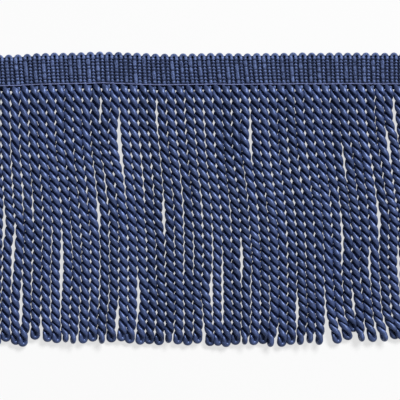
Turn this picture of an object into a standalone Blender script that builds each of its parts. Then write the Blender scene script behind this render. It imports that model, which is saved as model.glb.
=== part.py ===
"""A cut length of bullion fringe, lying flat on its back.

The heading is a ribbed tape with a scalloped top edge. The skirt below it is a row of cords, each
a yarn doubled and twisted back on itself, so that it hangs from the heading's foot and ends in a
closed loop. X runs along the heading, Y from the cords' ends up to the scallops, and Z up from the
table. The origin is the middle of the heading's flat back. Sizes are in millimetres until a mesh
is made.
"""
import math

import bmesh
import bpy
import numpy as np

MM = 0.001

# The cut length, counted in cords, and the cords' even spacing where they leave the heading.
FIRST_CORD = -1
LAST_CORD = 44
CORD_PITCH = 4.77

# The heading, from its foot to the tops of its scallops.
HEADING_HEIGHT = 16.1
SCALLOP_DEPTH = 1.6
SCALLOP_SHIFT = 1.15
RIB_TOP = 2.5
RIB_VALLEY = 1.6
EDGE_THICKNESS = 0.9
EDGE_ROUNDING = 1.1

# The strip at the heading's foot that the cords grow from, parted from the tape by a fine gap.
FOOT_GAP = 0.3
STRIP_WIDTH = 1.2
STRIP_THICKNESS = 2.6

# A cord: a three-sided bar with the real cord's lie, and its S twist in fewer, longer turns.
# It swells a little at the loop that closes it, and all of it rests level on the table.
CORD_DROP = 135.5
CORD_RADIUS = 2.35
ROOT_RADIUS = 1.2
ROOT_LIFT = 0.05
NECK_RADIUS = 2.25
LOOP_RADIUS = 2.5
LOOP_LENGTH = 1.9
END_RADIUS = 1.5
SIDES = 3
RINGS = 41
RING_TURN = math.radians(-45)
FIRST_TURN = math.radians(-90)
NEIGHBOUR_TURN = math.radians(7)

# The lie of the cords. Each row holds a cord's number, the place of its root along the heading,
# and how far it has leaned to +X at each of the drops in STATIONS.
STATIONS = (0, 21, 42, 63, 84, 105, 126, 136)
LEANS = (
    # cord, root, lean at 21, 42, 63, 84, 105, 126, 136
    (-1, -106.4, -0.5, 0.0, 1.0, 0.5, 0.0, -0.5, -0.5),
    (3, -86.9, -0.5, 0.3, 1.9, 1.8, 1.3, 0.8, 0.3),
    (8, -63.8, -0.5, 0.5, 2.6, 4.0, 3.8, 2.9, 2.4),
    (13, -39.8, 0.3, 1.8, 3.4, 4.4, 4.6, 4.2, 3.4),
    (18, -15.4, 0.4, 2.1, 3.9, 4.4, 4.4, 4.3, 3.7),
    (23, 8.6, 1.0, 2.1, 4.5, 5.5, 5.8, 5.8, 5.2),
    (28, 33.0, 0.7, 1.6, 4.2, 5.5, 5.8, 5.8, 4.9),
    (33, 56.4, 0.6, 2.6, 5.0, 6.1, 6.3, 6.6, 6.0),
    (34, 61.0, 0.6, 2.6, 5.0, 6.2, 6.6, 8.4, 10.7),
    (39, 84.4, 0.5, 3.1, 5.8, 7.0, 7.4, 9.2, 11.3),
    (44, 108.3, 1.6, 4.2, 6.8, 7.9, 8.6, 10.5, 13.1),
)

# Where two neighbours part: the left cord's number, the drops between which the slit is open,
# and how much wider than the even spacing it is at its middle.
PARTINGS = (
    # left cord, from, to, width
    (-1, 59, 88, 1.4),
    (0, 59, 108, 1.2),
    (1, 99, 137, 1.4),
    (2, 55, 80, 0.8),
    (5, 74, 122, 1.6),
    (9, 58, 81, 1.4),
    (10, 6, 24, 0.7),
    (11, 113, 137, 1.4),
    (12, 11, 53, 1.9),
    (13, 97, 129, 1.4),
    (16, 5, 30, 0.8),
    (16, 55, 84, 1.4),
    (21, 96, 121, 1.4),
    (22, 87, 131, 0.8),
    (24, 77, 108, 1.4),
    (26, 14, 46, 1.4),
    (30, 108, 132, 1.4),
    (35, 63, 108, 1.1),
    (36, 29, 55, 1.0),
    (36, 105, 129, 1.2),
    (38, 81, 109, 1.1),
    (39, 59, 84, 1.2),
    (41, 19, 46, 1.4),
    (41, 84, 109, 1.4),
    (42, 4, 32, 1.2),
)

# Cords that end lower or higher than the rest, by this much.
LENGTH_CHANGES = {
    0: -1.2, 2: 1.2, 3: -2.5, 4: -1.2, 6: -0.8, 9: -1.5, 11: -1.2, 12: -2.3, 14: 0.4,
    16: 0.9, 19: 0.9, 21: 1.2, 23: 1.4, 26: 0.4, 28: 1.4, 29: 1.2, 31: 0.4, 32: -0.5,
    35: -2.5, 36: -6.1, 37: -1.5, 38: -1.2, 39: -1.5, 40: -2.5, 42: -1.5, 44: -1.8,
}

# The heading isn't quite straight: how far it rises at each place along it.
BOW_PLACES = (-110, -100, -50, -21, 12, 54, 87, 110)
BOW_RISES = (-0.8, -0.7, 0.65, -0.2, -0.2, 0.35, 0.4, 0.2)

# Yarn colours, as linear red, green and blue.
HEADING_COLOUR = (0.032, 0.054, 0.135, 1.0)
CORD_COLOUR = (0.036, 0.060, 0.170, 1.0)
YARN_ROUGHNESS = 0.45


def curve_through(places, values, at):
    """A smooth curve through the values, read at a place or at many."""
    places = np.asarray(places, float)
    values = np.asarray(values, float)
    slopes = np.gradient(values, places)
    span = np.clip(np.searchsorted(places, at, side="right") - 1, 0, len(places) - 2)
    width = places[span + 1] - places[span]
    t = (at - places[span]) / width
    start = (1 + 2 * t) * (1 - t) ** 2 * values[span] + t * (1 - t) ** 2 * width * slopes[span]
    end = t * t * (3 - 2 * t) * values[span + 1] - t * t * (1 - t) * width * slopes[span + 1]
    return start + end


def bow(x):
    """How far the heading rises at x."""
    return curve_through(BOW_PLACES, BOW_RISES, x)


def parting(left_cord, drop):
    """The extra room beside a cord at a drop below the heading."""
    extra = 0.0
    for cord, top, bottom, width in PARTINGS:
        if cord == left_cord and top < drop < bottom:
            extra += width * math.sin(math.pi * (drop - top) / (bottom - top)) ** 2
    return extra


def cord_middles(drop):
    """The X of every cord's middle at a drop below the heading, from the first to the last."""
    cords = range(FIRST_CORD, LAST_CORD + 1)
    spaced = [0.0]
    for cord in cords[:-1]:
        spaced.append(spaced[-1] + CORD_PITCH + parting(cord, drop))
    held = [row[0] - FIRST_CORD for row in LEANS]
    held_x = [row[1] + curve_through(STATIONS, (0.0, *row[2:]), drop) for row in LEANS]
    return np.interp(spaced, [spaced[i] for i in held], held_x)


def add_object(name, verts, faces, colour):
    """One closed mesh object with its own yarn material."""
    mesh = bpy.data.meshes.new(name)
    mesh.from_pydata([tuple(MM * c for c in v) for v in verts], [], faces)
    shape = bmesh.new()
    shape.from_mesh(mesh)
    bmesh.ops.recalc_face_normals(shape, faces=shape.faces)
    bmesh.ops.triangulate(shape, faces=[f for f in shape.faces if len(f.verts) > 4])
    shape.to_mesh(mesh)
    shape.free()
    mesh.shade_smooth()
    mesh.set_sharp_from_angle(angle=math.radians(50))
    material = bpy.data.materials.new(name + "_yarn")
    material.use_nodes = True
    shader = material.node_tree.nodes["Principled BSDF"]
    shader.inputs["Base Color"].default_value = colour
    shader.inputs["Roughness"].default_value = YARN_ROUGHNESS
    shader.inputs["Metallic"].default_value = 0.0
    mesh.materials.append(material)
    part = bpy.data.objects.new(name, mesh)
    bpy.context.scene.collection.objects.link(part)
    return part


def heading_columns(roots):
    """The tape's columns, left to right: X, the yarn's height there, and the scallop's fall."""
    # place across one scallop, height between valley and rib top, fall from the scallop's top
    across = (
        (-0.5, 0.0, 1.0),
        (-0.41, 0.6, 0.5),
        (-0.25, 1.0, 0.15),
        (0.0, 0.25, 0.0),
        (0.25, 1.0, 0.15),
        (0.41, 0.6, 0.5),
    )
    columns = []
    for root in roots:
        for place, height, fall in across:
            x = root + SCALLOP_SHIFT + place * CORD_PITCH
            columns.append((x, RIB_VALLEY + height * (RIB_TOP - RIB_VALLEY), fall * SCALLOP_DEPTH))
    columns.append((roots[-1] + SCALLOP_SHIFT + CORD_PITCH / 2, RIB_VALLEY, SCALLOP_DEPTH))
    return columns


def make_heading():
    """The ribbed tape: a flat back, two ribs to each scallop and a rounded scalloped edge."""
    verts = []
    foot = -HEADING_HEIGHT / 2
    for x, height, fall in heading_columns(cord_middles(0.0)):
        rise = bow(x)
        top = HEADING_HEIGHT / 2 - fall + rise
        verts.append((x, foot + rise, 0.0))
        verts.append((x, foot + rise, height))
        verts.append((x, top - EDGE_ROUNDING, height))
        verts.append((x, top, EDGE_THICKNESS))
        verts.append((x, top, 0.0))
    loop = 5
    last = len(verts) - loop
    faces = []
    for a in range(0, last, loop):
        b = a + loop
        for i in range(loop - 1):
            faces.append((a + i, b + i, b + i + 1, a + i + 1))
    back = list(range(0, last + 1, loop)) + list(range(last + loop - 1, 0, -loop))
    faces.append(tuple(back))
    faces.append(tuple(range(loop)))
    faces.append(tuple(range(last, last + loop)))
    return add_object("heading", verts, faces, HEADING_COLOUR)


def cord_rings(index, rise):
    """The corners of a cord's rings, from its root on the strip to its end."""
    length = CORD_DROP + LENGTH_CHANGES.get(index + FIRST_CORD, 0.0)
    drops = [*np.linspace(FOOT_GAP + STRIP_WIDTH, length - LOOP_LENGTH, RINGS - 1), length]
    radii = [ROOT_RADIUS, NECK_RADIUS, *[CORD_RADIUS] * (RINGS - 4), LOOP_RADIUS, END_RADIUS]
    heights = [ROOT_RADIUS + ROOT_LIFT, *[CORD_RADIUS] * (RINGS - 3), LOOP_RADIUS, CORD_RADIUS]
    for number, (drop, radius, height) in enumerate(zip(drops, radii, heights)):
        x = cord_middles(drop)[index]
        y = rise - HEADING_HEIGHT / 2 - drop
        first = FIRST_TURN + index * NEIGHBOUR_TURN + number * RING_TURN
        turns = [first + side * 2 * math.pi / SIDES for side in range(SIDES)]
        yield [(x + radius * math.cos(t), y, height + radius * math.sin(t)) for t in turns]


def bridge(outer, inner, verts, middle):
    """Triangles that fill the space between two loops of corners around a middle, in XZ."""

    def angle(corner):
        return math.atan2(verts[corner][2] - middle[1], verts[corner][0] - middle[0])

    outer = sorted(outer, key=angle)
    inner = sorted(inner, key=angle)
    outer_ends = [angle(corner) for corner in outer[1:]] + [angle(outer[0]) + 2 * math.pi]
    inner_ends = [angle(corner) for corner in inner[1:]] + [angle(inner[0]) + 2 * math.pi]
    outer.append(outer[0])
    inner.append(inner[0])
    faces = []
    i = 0
    j = 0
    while i < len(outer_ends) or j < len(inner_ends):
        if j == len(inner_ends) or (i < len(outer_ends) and outer_ends[i] <= inner_ends[j]):
            faces.append((outer[i], outer[i + 1], inner[j]))
            i += 1
        else:
            faces.append((inner[j], inner[j + 1], outer[i]))
            j += 1
    return faces


def add_strip(verts, faces, roots):
    """The strip's corners, four to each side of a cord's root, and its faces but the cords' side."""
    sides = [(a + b) / 2 for a, b in zip(roots, roots[1:])]
    for x in [roots[0] - CORD_PITCH / 2, *sides, roots[-1] + CORD_PITCH / 2]:
        top = bow(x) - HEADING_HEIGHT / 2 - FOOT_GAP
        bottom = top - STRIP_WIDTH
        verts += [(x, bottom, 0.0), (x, bottom, STRIP_THICKNESS)]
        verts += [(x, top, STRIP_THICKNESS), (x, top, 0.0)]
    for a in range(0, 4 * len(roots), 4):
        faces += [(a + 1, a + 5, a + 6, a + 2), (a + 2, a + 6, a + 7, a + 3), (a + 3, a + 7, a + 4, a)]
    end = 4 * len(roots)
    faces += [(0, 1, 2, 3), (end, end + 1, end + 2, end + 3)]


def add_cord(verts, faces, index, root):
    """One cord, joined to its stretch of the strip's lower side."""
    rings = []
    for corners in cord_rings(index, bow(root)):
        rings.append(range(len(verts), len(verts) + SIDES))
        verts += corners
    a = 4 * index
    faces += bridge([a, a + 1, a + 5, a + 4], rings[0], verts, (root, ROOT_RADIUS))
    for upper, lower in zip(rings, rings[1:]):
        for side in range(SIDES):
            after = (side + 1) % SIDES
            faces.append((upper[side], upper[after], lower[after]))
            faces.append((upper[side], lower[after], lower[side]))
    faces.append(tuple(rings[-1]))


def make_skirt():
    """The strip at the heading's foot and every cord that grows from it, in one body."""
    verts = []
    faces = []
    roots = cord_middles(0.0)
    add_strip(verts, faces, roots)
    for index, root in enumerate(roots):
        add_cord(verts, faces, index, root)
    return add_object("bullion_skirt", verts, faces, CORD_COLOUR)


for old in list(bpy.data.objects):
    bpy.data.objects.remove(old, do_unlink=True)
make_heading()
make_skirt()
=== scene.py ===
"""The looks of a bullion fringe: satin yarn plied into cords, and a ribbed, scalloped heading.

The fringe lies flat on a white table, with the camera straight above it. X runs along the heading,
Y from the cords' ends up to the scallops, Z up. Sizes are in millimetres until a mesh is made.
"""
import math
import random

import bpy
import numpy as np
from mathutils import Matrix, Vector


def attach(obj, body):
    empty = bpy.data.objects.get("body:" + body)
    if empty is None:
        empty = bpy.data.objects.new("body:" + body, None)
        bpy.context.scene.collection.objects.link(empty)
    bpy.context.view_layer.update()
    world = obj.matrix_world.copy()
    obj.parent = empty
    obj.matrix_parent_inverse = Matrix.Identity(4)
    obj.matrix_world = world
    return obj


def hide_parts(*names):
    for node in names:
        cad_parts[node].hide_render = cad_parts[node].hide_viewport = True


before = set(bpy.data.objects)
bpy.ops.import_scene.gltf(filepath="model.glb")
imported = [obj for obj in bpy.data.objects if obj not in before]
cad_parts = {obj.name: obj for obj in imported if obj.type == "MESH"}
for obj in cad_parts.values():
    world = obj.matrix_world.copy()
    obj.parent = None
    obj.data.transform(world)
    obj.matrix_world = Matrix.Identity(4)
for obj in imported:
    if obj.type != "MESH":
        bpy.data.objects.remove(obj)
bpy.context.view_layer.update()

MM = 0.001

# The cut length, counted in cords, and the cords' even spacing where they leave the heading.
FIRST_CORD = -1
LAST_CORD = 44
CORD_PITCH = 4.77
CORD_NUMBERS = range(FIRST_CORD, LAST_CORD + 1)
CORDS_IN_A_PIECE = 12

# The heading, from its foot to the tops of its scallops, and how far to +X of its cord's root a
# scallop's middle lies.
HEADING_TOP = 8.66
HEADING_FOOT = -7.9
SCALLOP_SHIFT = 1.15

# The scallops and ribs don't stand quite over their cords: how far each has slipped to +X at its
# top and at its foot, at each place along the heading.
SLIP_PLACES = (-112, -90, -57, -40, -23, -6, 27, 44, 61, 78, 94, 114)
TOP_SLIPS = (0, 0, 0.35, 0.75, 0.6, 0.6, 0.5, 0.6, 1.2, 1.4, 1.9, 2.2)
FOOT_SLIPS = (-0.1, -0.05, -0.1, 0.1, 0.25, 0.7, 0.65, 0.5, 0.75, 0.75, 0.9, 0.9)

# The skirt's usual length below the heading, and the lie of its cords. Each row of LEANS holds a
# cord's number, the place of its root along the heading, and how far it has leaned to +X at each
# of the drops in STATIONS.
CORD_DROP = 136.4
STATIONS = (0, 21, 42, 63, 84, 105, 126, 136)
LEANS = (
    # cord, root, lean at 21, 42, 63, 84, 105, 126, 136
    (-1, -106.4, -0.5, 0.0, 1.0, 0.5, 0.0, -0.5, -0.5),
    (3, -86.9, -0.5, 0.3, 1.9, 1.8, 1.3, 0.8, 0.3),
    (8, -63.8, -0.5, 0.5, 2.6, 4.0, 3.8, 2.9, 2.4),
    (13, -39.8, 0.3, 1.8, 3.4, 4.4, 4.6, 4.2, 3.4),
    (18, -15.4, 0.4, 2.1, 3.9, 4.4, 4.4, 4.3, 3.7),
    (23, 8.6, 1.0, 2.1, 4.5, 5.5, 5.8, 5.8, 5.2),
    (28, 33.0, 0.7, 1.6, 4.2, 5.5, 5.8, 5.8, 4.9),
    (33, 56.4, 0.6, 2.6, 5.0, 6.1, 6.3, 6.6, 6.0),
    (34, 61.0, 0.6, 2.6, 5.0, 6.2, 6.6, 8.4, 10.7),
    (39, 84.4, 0.5, 3.1, 5.8, 7.0, 7.4, 9.2, 11.3),
    (44, 108.3, 1.6, 4.2, 6.8, 7.9, 8.6, 10.5, 13.1),
)

# The cords' middles are worked out at this many drops, to a little past the longest cord.
DROP_STEPS = 280
DROP_TO_SPARE = 3

# Where two neighbours part: the left cord's number, the drops between which the slit is open,
# and how much wider than the even spacing it is at its middle.
PARTINGS = (
    # left cord, from, to, width
    (-1, 59, 88, 1.4),
    (0, 59, 108, 1.2),
    (1, 99, 137, 1.4),
    (2, 55, 80, 0.8),
    (5, 74, 122, 1.6),
    (9, 58, 81, 1.4),
    (10, 6, 24, 0.7),
    (11, 113, 137, 1.4),
    (12, 11, 53, 1.9),
    (13, 97, 129, 1.4),
    (16, 5, 30, 0.8),
    (16, 55, 84, 1.4),
    (21, 96, 121, 1.4),
    (22, 87, 131, 0.8),
    (24, 77, 108, 1.4),
    (26, 14, 46, 1.4),
    (30, 108, 132, 1.4),
    (35, 63, 108, 1.1),
    (36, 29, 55, 1.0),
    (36, 105, 129, 1.2),
    (38, 81, 109, 1.1),
    (39, 59, 84, 1.2),
    (41, 19, 46, 1.4),
    (41, 84, 109, 1.4),
    (42, 4, 32, 1.2),
)

# The plied cords are fuller than the plain ones of the CAD model, so each slit is made this many
# times as wide as its row says.
PARTING_SHARE = 1.15

# Cords that end lower or higher than the rest, by this much.
LENGTH_CHANGES = {
    0: -2.1, 1: -0.3, 2: 0.9, 3: -2.5, 4: -1.2, 5: -0.4, 6: -0.8, 9: -0.8, 10: 0.3, 11: -0.2,
    12: -1.0, 14: 0.4, 16: 0.3, 17: -1.1, 18: -0.2, 19: 0.4, 20: -0.5, 21: 0.9, 22: 0.8, 23: 1.5,
    24: 0.4, 26: 0.4, 28: 1.4, 29: 1.5, 30: 0.5, 31: 0.5, 32: -0.4, 33: 0.5, 35: -1.8, 36: -6.1,
    37: -1.2, 38: -0.9, 39: -1.2, 40: -2.3, 41: -2.4, 42: -1.5, 44: -1.8,
}

# Cords whose ends have swung to one side, by this much, over the last END_LENGTH of their drop.
END_SWAYS = {
    2: -1.2, 4: 1.5, 5: 1.2, 6: 0.9, 13: -0.5, 21: 1.7, 22: 0.9, 28: -0.8, 34: 0.6, 35: 1.7, 36: 0.8,
    37: -1.0, 39: 1.2, 40: 2.0,
}
END_LENGTH = 13.0

# The heading isn't quite straight: how far it rises at each place along it.
BOW_PLACES = (-110, -100, -90, -80, -63, -50, -42, -33, -26, -5, 8, 20, 34, 62, 85, 110)
BOW_RISES = (-1, -0.9, -0.4, 0, 0.35, 0.6, 0.3, 0, -0.33, -0.28, -0.05, -0.2, 0, 0.15, 0.15, 0)

# How unevenly the yarn lies. Each pair is how far it strays, and the length over which that
# changes; the turn strays in radians, the lift and a rib's width as a share of themselves.
TURN_STRAY = (1.2, 24.0)
CORD_STRAY = (0.12, 17.0)
LIFT_STRAY = (1.0, 31.0)
RIB_STRAY = (0.06, 5.0)
RIB_WIDTH_STRAY = (0.1, 1.1)
WARP_STRAY = (0.08, 9.0)
FOOT_STRAY = (0.1, 4.0)
FOOT_RISE_STRAY = (0.12, 2.4)

# Where each piece's random draws start.
CORD_SEED = 7
SCALLOP_SEED = 11
WARP_SEED = 19
FOOT_SEED = 23
BINDING_SEED = 29

# The cord's two plies lie back to back, PLY_OFFSET from its middle. A ply reaches PLY_REACH outward,
# PLY_INSIDE inward and PLY_HALF to each side, and its inner side narrows by PLY_NARROWS. The cord
# lies about CORD_LIFT higher than its radius, because cords bear on each other.
PLY_OFFSET = 1.62
PLY_REACH = 0.94
PLY_INSIDE = 1.72
PLY_HALF = 1.43
PLY_NARROWS = 0.8
PLY_SIDES = 14
CORD_RADIUS = PLY_OFFSET + PLY_REACH
CORD_LIFT = 0.06

# The twist: the first ply's turn at the root, how much that differs and how it steps from cord to
# cord, the length of one turn at the root and at the loop, the share by which that differs, and
# the points in a turn.
FIRST_ANGLE = math.pi + 0.4
START_UNEVEN = 0.35
START_STEP = 2.4
LAY_AT_ROOT = 11.5
LAY_AT_LOOP = 10.0
LAY_UNEVEN = 0.045
TURN_STEPS = 18

# A cord starts ROOT_TUCK above the heading's foot, under its thread. There it is pressed to the
# share ROOT_PRESS of its height, round again at ROOT_SWELL, and gathered to the share ROOT_GATHER,
# full again at ROOT_OPENS. As far as ROOT_REACH it is a little fuller than further down.
ROOT_TUCK = 1.0
ROOT_PRESS = 0.32
ROOT_SWELL = 5.2
ROOT_GATHER = 0.66
ROOT_OPENS = 3.8
ROOT_FULLNESS = 0.04
ROOT_REACH = 14.0

# At the loop the yarn is round, its two lengths lie LOOP_OFFSET from the cord's middle, and its turn
# reaches LOOP_RISE past them. Over LOOP_NECK a turn of the cord's twist gets longer by that many
# times, so that it nearly stops. The loops lie almost flat, but for the ones turned on edge.
LOOP_OFFSET = 1.36
LOOP_YARN_RADIUS = 1.36
LOOP_RISE = 1.25
LOOP_NECK = 2.2
NECK_LAY_GAIN = 5
LOOP_STEPS = 14
LOOP_TILT = -0.3
LOOP_TILT_UNEVEN = 0.25
EDGE_ON_LOOPS = (6, 7, 10, 17, 25, 28, 31, 32, 33, 37, 39)

# The dark ground: how far its top edge lies below the scallops and its bottom edge below the foot, and the
# height of its middle.
# Its dark colour is painted shade for the grooves between the ribs, and the strip it reaches below the
# foot is painted shade between the cords' roots.
TAPE_BELOW_TOP = 1.45
TAPE_BELOW_FOOT = 2.7
TAPE_LEVEL = 1.1
TAPE_HALF_THICK = 0.5
TAPE_SIDES = 8
TAPE_DYE = 0.5

# The heading's yarn: each scallop links a smooth rib to a beaded one. Places are measured from
# the scallop's middle, where the ribs leave the scallop's loop, at BEND_BELOW_TOP, and at the foot.
# A scallop stands up to SCALLOP_UNEVEN higher or lower than the rest.
LOOP_HALF = 1.3
SCALLOP_YARN = 0.82
SCALLOP_UNEVEN = 0.14
SMOOTH_RIB = (-LOOP_HALF, -1.2, 0.0)
BEADED_RIB = (LOOP_HALF, 1.36, 2.2)
BEND_BELOW_TOP = 5.0
RIB_LEVELS = (HEADING_TOP - SCALLOP_YARN - LOOP_HALF, HEADING_TOP - BEND_BELOW_TOP, HEADING_FOOT)
ARC_STEPS = 12

# A rib's half width grows from the scallop's yarn over RIB_WIDENS. A thin rib is lower too, but by no
# more than to RIB_LEAST_SHARE of its height, and one wider than RIB_MOST_WIDTH of a bead grows no
# higher. The ribs dip at the foot, under its thread.
SMOOTH_HALF = 1.05
BEADED_HALF = 1.02
RIB_WIDENS = 0.9
RIB_HALF_HEIGHT = 0.85
RIB_LEAST_SHARE = 0.15
RIB_MOST_WIDTH = 1.05
RIB_MIDDLE = 1.5
RIB_FOOT_DIP = 0.6
RIB_DIP_LENGTH = 1.0
RIB_TAIL = 0.1
RIB_STEP = 0.21
RIB_SIDES = 10
RIB_FULLNESS = 0.8

# The beads, from the top one down, and how far the rib is pinched between two of them.
BEAD_PITCH = 1.72
FIRST_BEAD = 4.15
BEADS = 7
BEAD_PINCH = 0.66
BEAD_SWELL = 1.7

# The binding threads lie between the beads, at WARP_LEVEL, and rise over a rib by WARP_PROUD of
# their half width. At WARP_OVER of the smooth ribs they go over too, draw the rib in by the share
# WARP_BITE, over WARP_BITE_HALF to each side, and span BOUND_SHARE of it.
WARP_OVER = 0.7
WARP_LEVEL = 1.68
WARP_HALF = 0.17
WARP_SIDES = 6
WARP_PROUD = 0.6
WARP_BITE = 0.36
WARP_BITE_HALF = 0.38
BOUND_SHARE = 0.8

# The thread along the heading's foot: how far it lies above the foot's line and above the table,
# and its half height and half width.
FOOT_THREAD_RISE = 0.1
FOOT_THREAD_LEVEL = 1.95
FOOT_THREAD_HALVES = (0.25, 0.27)
FOOT_THREAD_SIDES = 8

# Each yarn's look: its colour between the fibres and on them, its gloss, the width of one turn of
# its own fine twist, and how small and strong the patches in its dye are.
YARN_LOOKS = {
    "cord_yarn": ((0.0075, 0.0108, 0.0215, 1), (0.060, 0.086, 0.200, 1), 0.95, 1.6, 1.5),
    "rib_yarn": ((0.0105, 0.015, 0.036, 1), (0.108, 0.149, 0.308, 1), 0.4, 1.4, 9.0),
    # The ground's colours are far darker than the yarns': painted shade in the heading's grooves and
    # between the cords' roots.
    "ground_cloth_painted_shade": ((0.007, 0.010, 0.020, 1), (0.015, 0.021, 0.045, 1), 0.1, 0.5, 1.0),
    "warp_yarn": ((0.012, 0.016, 0.036, 1), (0.042, 0.056, 0.116, 1), 0.2, 0.5, 1.0),
    # The foot thread is the same navy yarn, coloured paler as a painted highlight for the light it
    # catches.
    "foot_yarn_painted_highlight": ((0.07, 0.085, 0.18, 1), (0.18, 0.21, 0.37, 1), 0.3, 0.5, 1.0),
}

# The yarn's surface: how far the fibres slant, how close they and the dye's patches are round it
# and along it, and how much fibres, patches, each length's own dye and the twist add to the colour.
# The patches' share grows with how small they are, to the power PATCH_GAIN.
FIBRE_SLANT = 0.22
FIBRES_ROUND = 5.5
FIBRES_ALONG = 0.45
FIBRE_DETAIL = 3.0
FIBRE_SHARE = 0.75
PATCHES_ROUND = 0.15
PATCHES_ALONG = 0.35
PATCH_DETAIL = 2.0
PATCH_SHARE = 0.5
PATCH_GAIN = 0.7
DYE_SHARE = 0.25
TWIST_SHARE = 0.06

# How much of the fine relief is fibre and how much twist, its depth in metres, the roughness, and
# the bluish gloss and sheen. Lengths of yarn are this far apart in the two patterns.
FIBRE_RELIEF = 0.6
TWIST_RELIEF = 0.4
RELIEF_STRENGTH = 0.4
RELIEF_DEPTH = 0.0002
LEAST_ROUGHNESS = 0.33
FIBRE_ROUGHNESS = 0.14
GLOSS_TINT = (0.38, 0.52, 1.0, 1.0)
SHEEN = 0.05
SHEEN_ROUGHNESS = 0.35
SHEEN_TINT = (0.45, 0.6, 1.0, 1.0)
FIBRES_APART = 40.0
PATCHES_APART = 90.0

# The view, straight down: the picture's width at the cords' height, and the point under its middle.
VIEW_WIDTH = 209.6
VIEW_MIDDLE_Y = -68.6
VIEW_LEVEL = 3.0
LENS = 150.0
SENSOR = 36.0
NEAREST_SEEN = 10.0

# The light: a wide window beyond the heading and to the right, in metres, and a pale surround. The
# table glows a little too. It reaches TABLE_HALF metres each way, a hair below the fringe.
DAYLIGHT = 1000.0
DAYLIGHT_FROM = (3.35, 4.29, 4.41)
WINDOW_WIDTH = 4.5
WINDOW_HEIGHT = 1.6
SURROUND = 0.2
TABLE_WHITE = 0.2
TABLE_ROUGHNESS = 0.9
TABLE_GLOW = 0.688
TABLE_HALF = 3
TABLE_BELOW = 0.1


def curve_through(places, values, at):
    """A smooth curve through the values, read at a place or at many."""
    places = np.asarray(places, float)
    values = np.asarray(values, float)
    slopes = np.gradient(values, places)
    span = np.clip(np.searchsorted(places, at, side="right") - 1, 0, len(places) - 2)
    width = places[span + 1] - places[span]
    t = (at - places[span]) / width
    start = (1 + 2 * t) * (1 - t) ** 2 * values[span] + t * (1 - t) ** 2 * width * slopes[span]
    end = t * t * (3 - 2 * t) * values[span + 1] - t * t * (1 - t) * width * slopes[span + 1]
    return start + end


def soft_step(t):
    """From 0 to 1, easing in and out."""
    t = np.clip(t, 0, 1)
    return t * t * (3 - 2 * t)


def wander(draw, places, size, span):
    """A slow random drift of about that size, which changes over each span of the places."""
    knots = np.arange(0, places.max() + 2 * span, span)
    return curve_through(knots, [draw.uniform(-size, size) for _ in knots], places)


def bow(x):
    """How far the heading rises at x."""
    return curve_through(BOW_PLACES, BOW_RISES, x)


def parting(left_cord, drop):
    """The extra room beside a cord at a drop below the heading."""
    extra = 0.0
    for cord, top, bottom, width in PARTINGS:
        if cord == left_cord and top < drop < bottom:
            extra += PARTING_SHARE * width * math.sin(math.pi * (drop - top) / (bottom - top)) ** 2
    return extra


def cord_middles(drop):
    """The X of every cord's middle at a drop below the heading, from the first to the last."""
    spaced = [0.0]
    for cord in CORD_NUMBERS[:-1]:
        spaced.append(spaced[-1] + CORD_PITCH + parting(cord, drop))
    held = [row[0] - FIRST_CORD for row in LEANS]
    held_x = [row[1] + curve_through(STATIONS, (0.0, *row[2:]), drop) for row in LEANS]
    return np.interp(spaced, [spaced[i] for i in held], held_x)


DROPS = np.linspace(0, CORD_DROP + DROP_TO_SPARE, DROP_STEPS)
MIDDLES = np.array([cord_middles(drop) for drop in DROPS])
ROOTS = MIDDLES[0]


def along_heading(before, after, step):
    """Places along the heading, from before the first scallop's middle to after the last one's."""
    return np.arange(ROOTS[0] + SCALLOP_SHIFT - before, ROOTS[-1] + SCALLOP_SHIFT + after, step)


def oval(half_height, half_width, sides, fullness=1.0):
    """An oval section, by its reach outward and across; both may change along the yarn.

    A fullness under 1 squares the oval off.
    """
    turns = np.arange(sides) * 2 * math.pi / sides
    out = np.reshape(half_height, (-1, 1)) * np.sign(np.cos(turns)) * np.abs(np.cos(turns)) ** fullness
    side = np.reshape(half_width, (-1, 1)) * np.sign(np.sin(turns)) * np.abs(np.sin(turns)) ** fullness
    return np.stack(np.broadcast_arrays(out, side), -1)


def ply_section():
    """A ply's section in the cord: round outside, and narrower where it's pressed on the other ply."""
    turns = np.arange(PLY_SIDES) * 2 * math.pi / PLY_SIDES
    out = np.where(np.cos(turns) > 0, PLY_REACH, PLY_INSIDE) * np.cos(turns)
    side = PLY_HALF * np.sin(turns) * (1 - PLY_NARROWS * np.maximum(-np.cos(turns), 0))
    return np.stack([out, side], -1)


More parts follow.
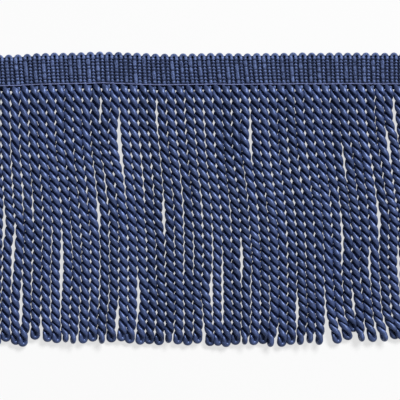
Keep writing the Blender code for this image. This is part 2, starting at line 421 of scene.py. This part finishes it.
class Yarns:
    """Lengths of yarn gathered into one mesh, with a map that runs round and along each."""

    def __init__(self):
        self.verts = []
        self.faces = []
        self.corners = []
        self.dyes = []
        self.count = 0

    def sweep(self, path, outward, section, dye, press=1.0):
        """One closed length of yarn: its section is laid off outward from and across the path.

        The section is a list of outward and across distances, one list for all or one a point.
        Press is the share of its height that the yarn keeps where it is pressed flat.
        """
        along = np.gradient(path, axis=0)
        along /= np.linalg.norm(along, axis=1)[:, None]
        out = outward - (outward * along).sum(1)[:, None] * along
        out /= np.linalg.norm(out, axis=1)[:, None]
        across = np.cross(along, out)
        section = np.broadcast_to(section, (len(path), *np.shape(section)[-2:]))
        sides = section.shape[1]
        rings = path[:, None] + section[..., :1] * out[:, None] + section[..., 1:] * across[:, None]
        ends = rings[[0, -1]].mean(1)
        flatten = np.reshape(press, (-1, 1)) * np.ones((len(path), 1))
        # the yarn is flat where it rests on the table
        rings[..., 2] = np.maximum(rings[..., 2] * flatten, 0.0)
        ends[:, 2] *= flatten[[0, -1], 0]
        self.verts += [rings.reshape(-1, 3), ends]
        length = np.concatenate([[0], np.cumsum(np.linalg.norm(np.diff(path, axis=0), axis=1))])
        girth = float(np.linalg.norm(np.diff(section[0], axis=0), axis=1).sum())
        first = self.count
        last = first + (len(path) - 1) * sides
        start = first + len(path) * sides
        for ring in range(len(path) - 1):
            a = first + ring * sides
            low, high = length[ring], length[ring + 1]
            for j in range(sides):
                k = (j + 1) % sides
                self.faces.append((a + j, a + k, a + k + sides, a + j + sides))
                left, right = girth * j / sides, girth * (j + 1) / sides
                self.corners += [left, low, right, low, right, high, left, high]
        for j in range(sides):
            k = (j + 1) % sides
            self.faces += [(first + k, first + j, start), (last + j, last + k, start + 1)]
            self.corners += [0.0, 0.0] * 3 + [0.0, length[-1]] * 3
        self.dyes += [dye] * (len(path) * sides + 2)
        self.count += len(path) * sides + 2

    def lay(self, x, y, z, outward, section, dye):
        """One length of yarn along the heading, whose section faces the same way all along."""
        path = np.stack([x, y, z + 0 * x], 1)
        self.sweep(path, np.tile(np.array(outward, float), (len(x), 1)), section, dye)

    def make(self, name, material):
        """The finished piece, riding on the fringe's one body."""
        mesh = bpy.data.meshes.new(name)
        verts = np.concatenate(self.verts) * MM
        mesh.from_pydata(verts.tolist(), [], self.faces)
        mesh.uv_layers.new(name="yarn", do_init=False)
        mesh.uv_layers["yarn"].uv.foreach_set("vector", np.array(self.corners, np.float32))
        mesh.attributes.new("dye", "FLOAT", "POINT")
        mesh.attributes["dye"].data.foreach_set("value", np.array(self.dyes, np.float32))
        mesh.shade_smooth()
        mesh.materials.append(material)
        piece = bpy.data.objects.new(name, mesh)
        bpy.context.scene.collection.objects.link(piece)
        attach(piece, "root")
        return piece


class Socket:
    """A shader value that Python's own signs work on."""

    def __init__(self, finish, socket):
        self.finish = finish
        self.socket = socket

    def maths(self, operation, *others):
        """This value and the others, put through one Math node."""
        values = dict(enumerate((self, *others)))
        return self.finish.node("ShaderNodeMath", {"operation": operation}, values)

    def beside(self, number):
        """Another output of the same node."""
        return Socket(self.finish, self.socket.node.outputs[number])

    def clamped(self):
        """The value, kept between 0 and 1."""
        return self.maths("MINIMUM", 1.0).maths("MAXIMUM", 0.0)

    def __add__(self, other):
        return self.maths("ADD", other)

    def __radd__(self, other):
        return self.maths("ADD", other)

    def __mul__(self, other):
        return self.maths("MULTIPLY", other)

    def __rmul__(self, other):
        return self.maths("MULTIPLY", other)

    def __sub__(self, other):
        return self.maths("SUBTRACT", other)

    def __rsub__(self, other):
        return self.maths("MULTIPLY", -1.0).maths("ADD", other)


class Finish:
    """One material's nodes, put together by calls."""

    def __init__(self, name):
        self.material = bpy.data.materials.new(name)
        self.material.use_nodes = True
        self.tree = self.material.node_tree
        self.shader = self.tree.nodes["Principled BSDF"]

    def put(self, socket, value):
        """Sets a socket to a number or colour, or links another socket to it."""
        if isinstance(value, Socket):
            self.tree.links.new(value.socket, socket)
        else:
            socket.default_value = value

    def node(self, kind, settings, values, output=0):
        """Adds a node, sets it up, and fills its sockets by their number or name."""
        node = self.tree.nodes.new(kind)
        for setting, value in settings.items():
            setattr(node, setting, value)
        for socket, value in values.items():
            self.put(node.inputs[socket], value)
        return Socket(self, node.outputs[output])

    def place(self, x, y, z):
        """A place in a pattern, from three values."""
        return self.node("ShaderNodeCombineXYZ", {}, {0: x, 1: y, 2: z})

    def noise(self, place, scale, detail):
        """An uneven value from about 0.3 to 0.7, by place."""
        return self.node("ShaderNodeTexNoise", {}, {"Vector": place, "Scale": scale, "Detail": detail})

    def mix(self, share, first, second):
        """A colour between two, by a share from 0 to 1."""
        return self.node("ShaderNodeMix", {"data_type": "RGBA"}, {0: share, 6: first, 7: second}, output=2)

    def shade(self, **values):
        """Fills the shader's own sockets."""
        for name, value in values.items():
            self.put(self.shader.inputs[name.replace("_", " ")], value)


def satin_yarn(name, deep, bright, gloss, twist, mottle):
    """Soft satin yarn: fine fibres along the strand, its own slow twist, and an uneven dye."""
    finish = Finish(name)
    dye = finish.node("ShaderNodeAttribute", {"attribute_name": "dye"}, {}, output=2)
    yarn_map = finish.node("ShaderNodeUVMap", {"uv_map": "yarn"}, {})
    around = finish.node("ShaderNodeSeparateXYZ", {}, {"Vector": yarn_map})
    along = around.beside(1)
    # fibres run nearly along the strand, so the pattern is long along it and fine round it
    slant = around + along * FIBRE_SLANT
    fibre_place = finish.place(slant * FIBRES_ROUND, along * FIBRES_ALONG, dye * FIBRES_APART)
    fibres = finish.noise(fibre_place, 1.0, FIBRE_DETAIL)
    ridge = (slant * (2 * math.pi / twist)).maths("SINE")
    patch_place = finish.place(around * PATCHES_ROUND, along * PATCHES_ALONG, dye * PATCHES_APART)
    patches = finish.noise(patch_place, mottle, PATCH_DETAIL)
    mottled = (patches - 0.5) * (PATCH_SHARE * mottle ** PATCH_GAIN)
    share = (fibres * FIBRE_SHARE + mottled + dye * DYE_SHARE + ridge * TWIST_SHARE).clamped()
    relief = fibres * FIBRE_RELIEF + ridge * TWIST_RELIEF
    bump = finish.node(
        "ShaderNodeBump", {}, {"Strength": RELIEF_STRENGTH, "Distance": RELIEF_DEPTH, "Height": relief}
    )
    finish.shade(Base_Color=finish.mix(share, deep, bright), Normal=bump)
    finish.shade(Roughness=LEAST_ROUGHNESS + fibres * FIBRE_ROUGHNESS)
    finish.shade(Specular_IOR_Level=gloss, Specular_Tint=GLOSS_TINT)
    finish.shade(Sheen_Weight=SHEEN, Sheen_Roughness=SHEEN_ROUGHNESS, Sheen_Tint=SHEEN_TINT)
    return finish.material


def cord_angle(cord, drop, draw):
    """The turn of a cord's first ply at each drop, so that its loop ends open or edge-on."""
    share = drop / drop[-1]
    lay = LAY_AT_ROOT + (LAY_AT_LOOP - LAY_AT_ROOT) * share
    lay *= 1 + NECK_LAY_GAIN * soft_step((drop - drop[-1] + LOOP_NECK) / LOOP_NECK)
    turns = np.concatenate([[0], np.cumsum(np.diff(drop) / lay[1:])])
    turns *= draw.uniform(1 - LAY_UNEVEN, 1 + LAY_UNEVEN)
    tilt = LOOP_TILT + draw.uniform(-LOOP_TILT_UNEVEN, LOOP_TILT_UNEVEN)
    if cord in EDGE_ON_LOOPS:
        tilt += math.pi / 2
    start = FIRST_ANGLE + START_UNEVEN * math.sin(START_STEP * cord)
    # the nearest whole half turn that brings the loop to its tilt
    ending = math.pi * round((start - 2 * math.pi * turns[-1] - tilt) / math.pi) + tilt
    turns *= (start - ending) / (2 * math.pi * turns[-1])
    drift = wander(draw, drop, *TURN_STRAY) * np.sin(math.pi * share)
    return start - 2 * math.pi * turns + drift


def ply_shape(drop, near_loop, round_yarn):
    """How far a ply lies from the cord's middle at each drop, and its section there."""
    size = 1 + ROOT_FULLNESS * (1 - soft_step(drop / ROOT_REACH))
    size *= ROOT_GATHER + (1 - ROOT_GATHER) * soft_step(drop / ROOT_OPENS)
    offset = (PLY_OFFSET + (LOOP_OFFSET - PLY_OFFSET) * near_loop) * size
    roundness = near_loop[:, None, None]
    section = ply_section() * (1 - roundness) + round_yarn * roundness
    return offset, section * size[:, None, None]


def loop_turn(middle, out):
    """The yarn's way round the loop at the cord's end: its points, and its outward directions."""
    down = middle[-1] - middle[-2]
    down /= np.linalg.norm(down)
    bend = np.linspace(0, math.pi, LOOP_STEPS + 1)[1:-1, None]
    loop = middle[-1] + LOOP_OFFSET * np.cos(bend) * out[-1] + LOOP_RISE * np.sin(bend) * down
    return loop, np.cos(bend) * out[-1] + np.sin(bend) * down


def cord_path(cord, draw):
    """The yarn of one cord, down one ply, round the loop and up the other.

    Returns the path's points, the outward directions, the yarn's sections and how far it is pressed.
    """
    index = cord - FIRST_CORD
    length = CORD_DROP + LENGTH_CHANGES.get(cord, 0.0) + ROOT_TUCK - LOOP_RISE - LOOP_YARN_RADIUS
    steps = int(length / (LAY_AT_ROOT + LAY_AT_LOOP) * 2 * TURN_STEPS)
    drop = np.linspace(0, length, steps + 1)
    angle = cord_angle(cord, drop, draw)
    near_loop = soft_step((drop - length + LOOP_NECK) / LOOP_NECK)
    round_yarn = oval(LOOP_YARN_RADIUS, LOOP_YARN_RADIUS, PLY_SIDES)
    offset, section = ply_shape(drop, near_loop, round_yarn)
    x = np.interp(drop, DROPS, MIDDLES[:, index]) + wander(draw, drop, *CORD_STRAY)
    x += END_SWAYS.get(cord, 0.0) * soft_step((drop - length + END_LENGTH) / END_LENGTH)
    y = HEADING_FOOT + ROOT_TUCK + bow(ROOTS[index]) - drop
    end_height = abs(math.sin(angle[-1])) * LOOP_OFFSET + LOOP_YARN_RADIUS
    z = CORD_RADIUS + (end_height - CORD_RADIUS) * near_loop
    z += CORD_LIFT * (1 + wander(draw, drop, *LIFT_STRAY))
    # the cord's middle stays as high as its lower ply needs
    depth = np.abs(np.sin(angle))[:, None] * (offset[:, None] + section[..., 0])
    depth += np.abs(np.cos(angle))[:, None] * np.abs(section[..., 1])
    middle = np.stack([x, y, np.maximum(z, depth.max(1))], 1)
    out = np.stack([np.cos(angle), 0 * angle, np.sin(angle)], 1)
    loop, loop_out = loop_turn(middle, out)
    path = np.concatenate([middle + offset[:, None] * out, loop, (middle - offset[:, None] * out)[::-1]])
    outward = np.concatenate([out, loop_out, -out[::-1]])
    section = np.concatenate([section, np.repeat(round_yarn, len(loop), 0), section[::-1]])
    press = ROOT_PRESS + (1 - ROOT_PRESS) * soft_step(drop / ROOT_SWELL)
    return path, outward, section, np.concatenate([press, np.ones(len(loop)), press[::-1]])


def make_cords(yarn):
    """The skirt's cords, a few to a piece, each one length of yarn."""
    pieces = []
    draw = random.Random(CORD_SEED)
    for first in range(0, len(CORD_NUMBERS), CORDS_IN_A_PIECE):
        yarns = Yarns()
        for cord in CORD_NUMBERS[first:first + CORDS_IN_A_PIECE]:
            path, outward, section, press = cord_path(cord, draw)
            yarns.sweep(path, outward, section, draw.random(), press)
        pieces.append(yarns.make(f"cords_{len(pieces) + 1}", yarn))
    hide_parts("bullion_skirt")
    return pieces


def slip(x, y):
    """How far the heading's yarn at y has slipped to +X, for a scallop at x."""
    share = (y - HEADING_FOOT) / (HEADING_TOP - HEADING_FOOT)
    foot = curve_through(SLIP_PLACES, FOOT_SLIPS, x)
    return foot + (curve_through(SLIP_PLACES, TOP_SLIPS, x) - foot) * share


def rib_x(rib, y):
    """How far a rib lies from its scallop's middle, at a height."""
    return np.interp(y, RIB_LEVELS[::-1], rib[::-1])


def rib_height(half_width):
    """A rib's half height, which is less where the rib is thin."""
    share = np.minimum(half_width / BEADED_HALF, RIB_MOST_WIDTH)
    return RIB_HALF_HEIGHT * (RIB_LEAST_SHARE + (1 - RIB_LEAST_SHARE) * share)


def bead_width(y):
    """How wide a beaded rib is at a height, as a share: each bead swells towards its foot."""
    place = (FIRST_BEAD + BEAD_PITCH / 2 - y) / BEAD_PITCH
    inside = (place > 0) & (place < BEADS)
    phase = place - np.floor(place)
    pinch = 0.5 + 0.5 * np.cos(2 * math.pi * phase ** BEAD_SWELL)
    return 1 - BEAD_PINCH * np.where(inside, pinch, 0.0)


def warp_rows():
    """Each binding thread's height, and for every scallop whether it goes over the smooth rib."""
    draw = random.Random(BINDING_SEED)
    rows = []
    for row in range(BEADS + 1):
        y = FIRST_BEAD + BEAD_PITCH / 2 - row * BEAD_PITCH
        rows.append((y, [draw.random() < WARP_OVER for _ in ROOTS]))
    return rows


def round_scallop(smooth, over, beaded):
    """A scallop's values in its yarn's order: up the smooth rib, over the top, down the beaded one."""
    return np.concatenate([smooth, over, beaded[::-1]])


def make_scallops(yarn):
    """Every scallop of the heading: up the smooth rib, over the top and down the beaded one."""
    yarns = Yarns()
    draw = random.Random(SCALLOP_SEED)
    ys = np.arange(HEADING_FOOT - RIB_TAIL, RIB_LEVELS[0], RIB_STEP)
    bend = np.linspace(math.pi, 0, ARC_STEPS + 1)
    rib_share = soft_step((RIB_LEVELS[0] - ys) / RIB_WIDENS)
    smooth = SCALLOP_YARN + (SMOOTH_HALF - SCALLOP_YARN) * rib_share
    beaded = (SCALLOP_YARN + (BEADED_HALF - SCALLOP_YARN) * rib_share) * bead_width(ys)
    dip = RIB_FOOT_DIP * (1 - soft_step((ys - HEADING_FOOT) / RIB_DIP_LENGTH))
    level = RIB_MIDDLE - round_scallop(dip, 0 * bend, dip)
    lifted = round_scallop(1 - rib_share, np.ones(len(bend)), 1 - rib_share)
    out_x = round_scallop(-np.ones(len(ys)), np.cos(bend), np.ones(len(ys)))
    out_y = round_scallop(0 * ys, np.sin(bend), 0 * ys)
    outward = np.stack([out_x, out_y, 0 * out_x], 1)
    rows = warp_rows()
    for number, root in enumerate(ROOTS):
        scallop = root + SCALLOP_SHIFT
        rise = bow(scallop) + draw.uniform(-SCALLOP_UNEVEN, SCALLOP_UNEVEN) * lifted
        smooth_x = rib_x(SMOOTH_RIB, ys) + wander(draw, ys - ys[0], *RIB_STRAY)
        beaded_x = rib_x(BEADED_RIB, ys) + wander(draw, ys - ys[0], *RIB_STRAY)
        x = round_scallop(smooth_x, LOOP_HALF * np.cos(bend), beaded_x)
        y = round_scallop(ys, RIB_LEVELS[0] + LOOP_HALF * np.sin(bend), ys)
        x += slip(scallop, y)
        uneven = 1 + wander(draw, ys - ys[0], *RIB_WIDTH_STRAY)
        for row_y, over in rows:
            if over[number]:
                uneven -= WARP_BITE * np.exp(-((ys - row_y) / WARP_BITE_HALF) ** 2)
        width = round_scallop(smooth * uneven, np.full(len(bend), SCALLOP_YARN), beaded)
        path = np.stack([scallop + x, y + rise, level], 1)
        section = oval(width, rib_height(width), RIB_SIDES, RIB_FULLNESS)
        yarns.sweep(path, outward, section, draw.random())
    return yarns.make("scallops", yarn)


def make_warps(thread):
    """The fine threads that bind the heading: over each beaded rib, and over some smooth ones."""
    yarns = Yarns()
    draw = random.Random(WARP_SEED)
    x = along_heading(before=1.6, after=3.0, step=0.24)
    section = oval(WARP_HALF, WARP_HALF, WARP_SIDES)
    for row_y, over in warp_rows():
        z = np.full(len(x), WARP_LEVEL)
        for number, middle in enumerate(ROOTS + SCALLOP_SHIFT):
            place = middle + slip(middle, row_y)
            ribs = [(place + rib_x(BEADED_RIB, row_y), BEADED_HALF * (1 - BEAD_PINCH))]
            if over[number]:
                ribs.append((place + rib_x(SMOOTH_RIB, row_y), SMOOTH_HALF * BOUND_SHARE))
            for rib, half in ribs:
                top = RIB_MIDDLE + rib_height(half) + WARP_HALF * WARP_PROUD
                reach = np.clip(1 - ((x - rib) / (half + WARP_HALF)) ** 4, 0, 1) ** 0.5
                z = np.maximum(z, WARP_LEVEL + (top - WARP_LEVEL) * reach)
        y = row_y + bow(x) + wander(draw, x - x[0], *WARP_STRAY)
        yarns.lay(x, y, z, (0, 0, 1), section, draw.random())
    return yarns.make("warp_threads", thread)


def make_foot_thread(thread):
    """The thread along the heading's foot, where the yarn turns out into cords."""
    yarns = Yarns()
    draw = random.Random(FOOT_SEED)
    x = along_heading(before=2.2, after=3.2, step=0.4)
    y = HEADING_FOOT + FOOT_THREAD_RISE + bow(x) + wander(draw, x - x[0], *FOOT_STRAY)
    z = FOOT_THREAD_LEVEL + wander(draw, x - x[0], *FOOT_RISE_STRAY)
    yarns.lay(x, y, z, (0, 0, 1), oval(*FOOT_THREAD_HALVES, FOOT_THREAD_SIDES), draw.random())
    return yarns.make("foot_thread", thread)


def make_tape(cloth):
    """The dark ground between the ribs: a thin strip of the warp's own cloth, coloured darker than the
    yarn as painted shade in the grooves between the ribs, and run below the foot as painted shade between
    the cords' roots.
    """
    yarns = Yarns()
    x = along_heading(before=2.0, after=3.0, step=2.0)
    top = HEADING_TOP - TAPE_BELOW_TOP
    bottom = HEADING_FOOT - TAPE_BELOW_FOOT
    half = (top - bottom) / 2
    section = oval(half, TAPE_HALF_THICK, TAPE_SIDES)
    yarns.lay(x, bottom + half + bow(x), TAPE_LEVEL, (0, 1, 0), section, TAPE_DYE)
    tape = yarns.make("heading_tape", cloth)
    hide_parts("heading")
    return tape


def make_table():
    """A plain white table top, softly lit through."""
    finish = Finish("white_table")
    white = (TABLE_WHITE, TABLE_WHITE, TABLE_WHITE, 1.0)
    finish.shade(Base_Color=white, Roughness=TABLE_ROUGHNESS, Specular_IOR_Level=0.0)
    finish.shade(Emission_Color=(1.0, 1.0, 1.0, 1.0), Emission_Strength=TABLE_GLOW)
    corners = [(TABLE_HALF * x, TABLE_HALF * y, 0) for x, y in ((-1, -1), (1, -1), (1, 1), (-1, 1))]
    mesh = bpy.data.meshes.new("table_top")
    mesh.from_pydata(corners, [], [(0, 1, 2, 3)])
    mesh.materials.append(finish.material)
    table = bpy.data.objects.new("table_top", mesh)
    table.location.z = -TABLE_BELOW * MM
    bpy.context.scene.collection.objects.link(table)


def make_camera():
    """The camera straight above the skirt."""
    data = bpy.data.cameras.new("camera")
    data.lens = LENS
    data.sensor_width = SENSOR
    data.clip_start = NEAREST_SEEN * MM
    camera = bpy.data.objects.new("camera", data)
    camera.location = (0, VIEW_MIDDLE_Y * MM, (VIEW_WIDTH * LENS / SENSOR + VIEW_LEVEL) * MM)
    bpy.context.scene.collection.objects.link(camera)
    bpy.context.scene.camera = camera


def make_light():
    """Soft daylight from beyond the heading and from the right, and a pale surround."""
    world = bpy.data.worlds.new("surround")
    world.use_nodes = True
    world.node_tree.nodes["Background"].inputs["Color"].default_value = (1, 1, 1, 1)
    world.node_tree.nodes["Background"].inputs["Strength"].default_value = SURROUND
    bpy.context.scene.world = world
    data = bpy.data.lights.new("daylight", "AREA")
    data.shape = "RECTANGLE"
    data.size = WINDOW_WIDTH
    data.size_y = WINDOW_HEIGHT
    data.energy = DAYLIGHT
    light = bpy.data.objects.new("daylight", data)
    light.location = DAYLIGHT_FROM
    light.rotation_euler = Vector(DAYLIGHT_FROM).to_track_quat("Z", "Y").to_euler()
    bpy.context.scene.collection.objects.link(light)
    bpy.context.scene.view_settings.view_transform = "Standard"


make_camera()
make_light()
make_table()
yarn = {name: satin_yarn(name, *look) for name, look in YARN_LOOKS.items()}
tape = make_tape(yarn["ground_cloth_painted_shade"])
on_tape = [make_scallops(yarn["rib_yarn"]), make_warps(yarn["warp_yarn"])]
on_tape.append(make_foot_thread(yarn["foot_yarn_painted_highlight"]))
on_tape += make_cords(yarn["cord_yarn"])
